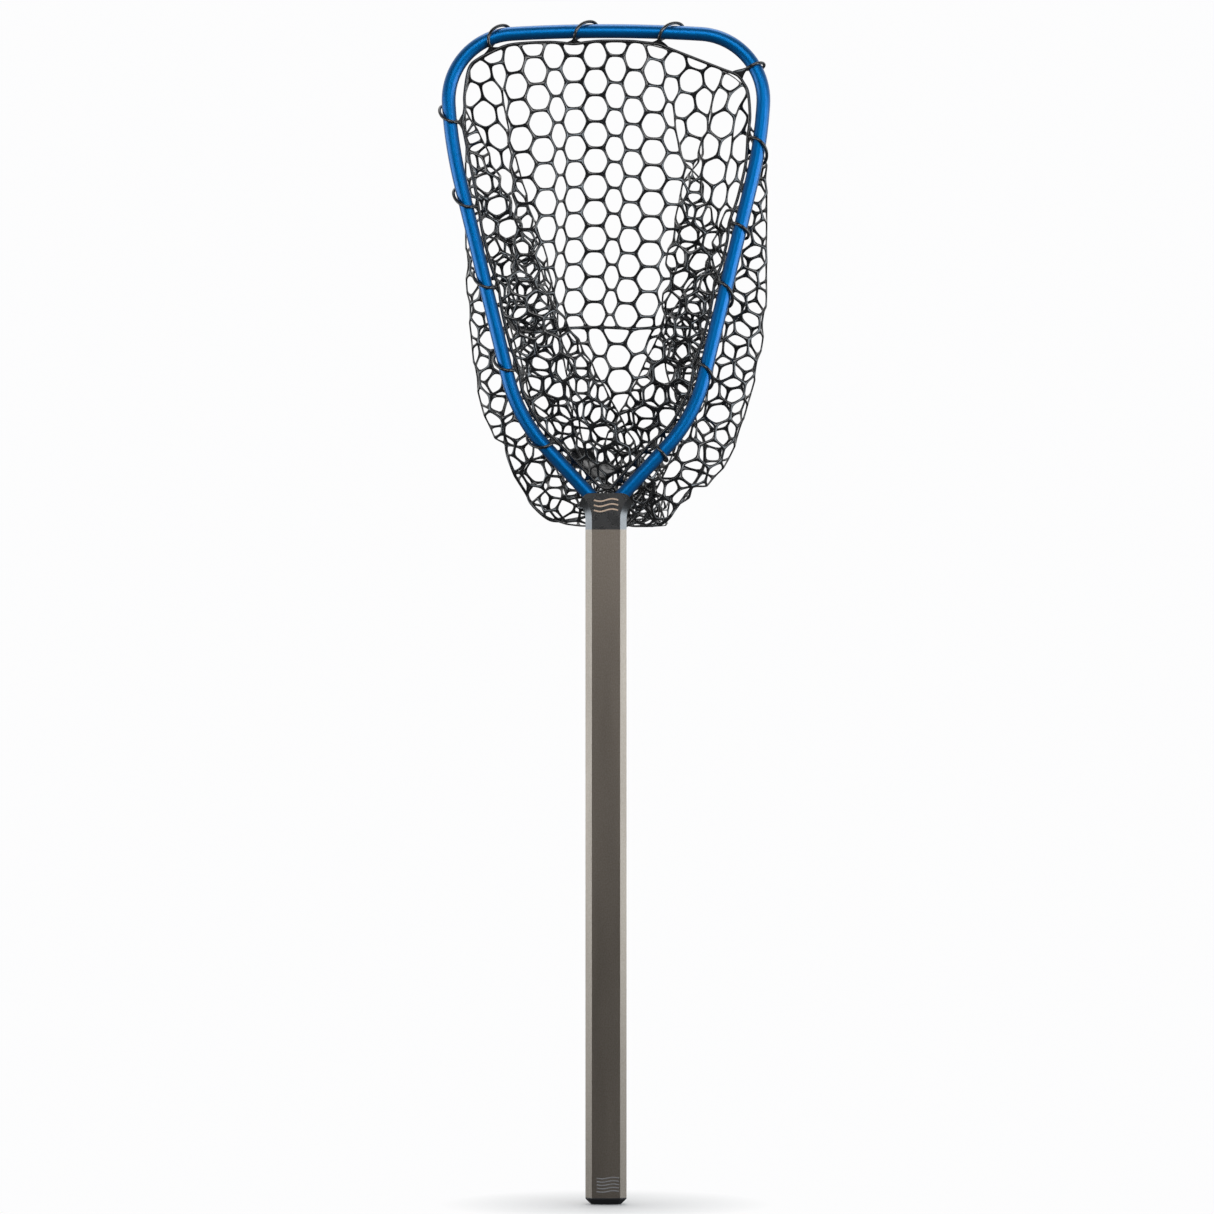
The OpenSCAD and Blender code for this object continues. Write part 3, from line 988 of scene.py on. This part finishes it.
def pale_floor():
    """A pale floor that fades into the backdrop's white, and throws little light back at the net."""
    bpy.ops.mesh.primitive_circle_add(vertices=96, radius=FLOOR_R, fill_type="NGON", location=(0, 0, -0.0005))
    floor = bpy.context.object
    floor.name = "studio_floor"
    material = new_material("studio_floor", (0.86, 0.86, 0.86), 0.6)
    nodes, links = material.node_tree.nodes, material.node_tree.links
    place = nodes.new("ShaderNodeTexCoord")
    far = nodes.new("ShaderNodeVectorMath")
    fade = nodes.new("ShaderNodeMapRange")
    glow = nodes.new("ShaderNodeEmission")
    mix = nodes.new("ShaderNodeMixShader")
    ray = nodes.new("ShaderNodeLightPath")
    dim = nodes.new("ShaderNodeBsdfDiffuse")
    choose = nodes.new("ShaderNodeMixShader")
    far.operation = "LENGTH"
    dim.inputs["Color"].default_value = (*FLOOR_BOUNCE, 1)
    glow.inputs["Color"].default_value = (*BACKDROP, 1)
    fade.inputs["From Min"].default_value = 0
    fade.inputs["From Max"].default_value = FLOOR_FADE
    links.new(place.outputs["Object"], far.inputs[0])
    links.new(far.outputs["Value"], fade.inputs["Value"])
    links.new(fade.outputs["Result"], mix.inputs["Fac"])
    links.new(nodes["Principled BSDF"].outputs["BSDF"], mix.inputs[1])
    links.new(glow.outputs["Emission"], mix.inputs[2])
    links.new(ray.outputs["Is Camera Ray"], choose.inputs["Fac"])
    links.new(dim.outputs["BSDF"], choose.inputs[1])
    links.new(mix.outputs["Shader"], choose.inputs[2])
    links.new(choose.outputs["Shader"], nodes["Material Output"].inputs["Surface"])
    floor.data.materials.append(material)


def studio_world():
    """White to look at; as light it is bright at the sides and behind, and dark in front."""
    world = bpy.data.worlds.new("studio")
    bpy.context.scene.world = world
    world.use_nodes = True
    nodes, links = world.node_tree.nodes, world.node_tree.links
    seen = nodes["Background"]
    seen.inputs["Color"].default_value = (*BACKDROP, 1)
    light = nodes.new("ShaderNodeBackground")
    ray = nodes.new("ShaderNodeLightPath")
    mix = nodes.new("ShaderNodeMixShader")
    place = nodes.new("ShaderNodeTexCoord")
    split = nodes.new("ShaderNodeSeparateXYZ")
    ramp = nodes.new("ShaderNodeMapRange")
    ramp.inputs["From Min"].default_value = -0.6
    ramp.inputs["From Max"].default_value = 0.8
    ramp.inputs["To Min"].default_value = 0.03
    ramp.inputs["To Max"].default_value = 1.0
    links.new(place.outputs["Generated"], split.inputs["Vector"])
    links.new(split.outputs["Y"], ramp.inputs["Value"])
    links.new(ramp.outputs["Result"], light.inputs["Strength"])
    links.new(ray.outputs["Is Camera Ray"], mix.inputs["Fac"])
    links.new(light.outputs["Background"], mix.inputs[1])
    links.new(seen.outputs["Background"], mix.inputs[2])
    links.new(mix.outputs["Shader"], nodes["World Output"].inputs["Surface"])


def softbox(name, place, target, width, height, power, colour):
    light = bpy.data.lights.new(name, "AREA")
    light.shape = "RECTANGLE"
    light.size = width
    light.size_y = height
    light.energy = power
    light.color = colour
    lamp = bpy.data.objects.new(name, light)
    lamp.location = place
    lamp.rotation_euler = (lamp.location - Vector(target)).to_track_quat("Z", "Y").to_euler()
    lamp.visible_camera = False
    bpy.context.scene.collection.objects.link(lamp)


def photo_camera():
    """A long lens straight from the front, level with the middle of the whole net."""
    data = bpy.data.cameras.new("photo_camera")
    camera = bpy.data.objects.new("photo_camera", data)
    bpy.context.scene.collection.objects.link(camera)
    distance = 6
    seen_width = 1.0987
    data.sensor_width = 36
    data.lens = data.sensor_width * distance / seen_width
    camera.location = (0.0009, -distance, 0.5400)
    camera.rotation_euler = (math.radians(90), 0, 0)
    bpy.context.scene.camera = camera


def dress(material, *names):
    """Gives CAD nodes their finish."""
    for name in names:
        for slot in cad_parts[name].material_slots:
            slot.material = material


dress(anodised_handle(), "handle_tube")
dress(anodised_yoke(), "yoke")
dress(plug_plastic(), "butt_plug")
dress(seal_rubber(), "butt_ring_lower", "butt_ring_upper")
dress(bare_aluminium(), "hoop_insert_left", "hoop_insert_right")
dress(screw_steel(), "handle_screw_lower", "handle_screw_upper", "hoop_screw_left", "hoop_screw_right")
make_waves("yoke_waves", centre=(0, SEAM_Z + 22), width=22, lines=3, pitch=4.6, half_w=0.7, height=1.1,
           material=etched_mark("etched_tan", (0.6, 0.43, 0.31), (0.85, 0.62, 0.46)))
make_waves("butt_waves", centre=(1.5, 18), width=20, lines=5, pitch=3, half_w=0.55, height=0.7,
           material=etched_mark("etched_grey", (0.2, 0.19, 0.19), (0.36, 0.35, 0.35)))
make_hoop(anodised_hoop())
make_bag(net_rubber())

pale_floor()
studio_world()
softbox("left_softbox", (-2.2, -0.6, 0.45), (0, 0, 0.6), 2.4, 1.0, 20, SIDE_LIGHT)
softbox("right_softbox", (2.2, -0.9, 0.45), (0, 0, 0.6), 3.0, 1.0, 29, SIDE_LIGHT)
softbox("right_front_softbox", (1.7, -1.7, 1.0), (0.12, 0, 0.85), 0.6, 1.0, 8, (0.8, 0.9, 1))
softbox("key_softbox", (0, -2.4, 1.8), (0, 0, 0.9), 2.0, 1.1, 27, (1, 1, 1))
softbox("top_softbox", (0, 0.6, 2.8), (0, 0, 0.6), 2.0, 1.2, 12, (1, 1, 1))
photo_camera()
bpy.context.scene.view_settings.view_transform = "Standard"
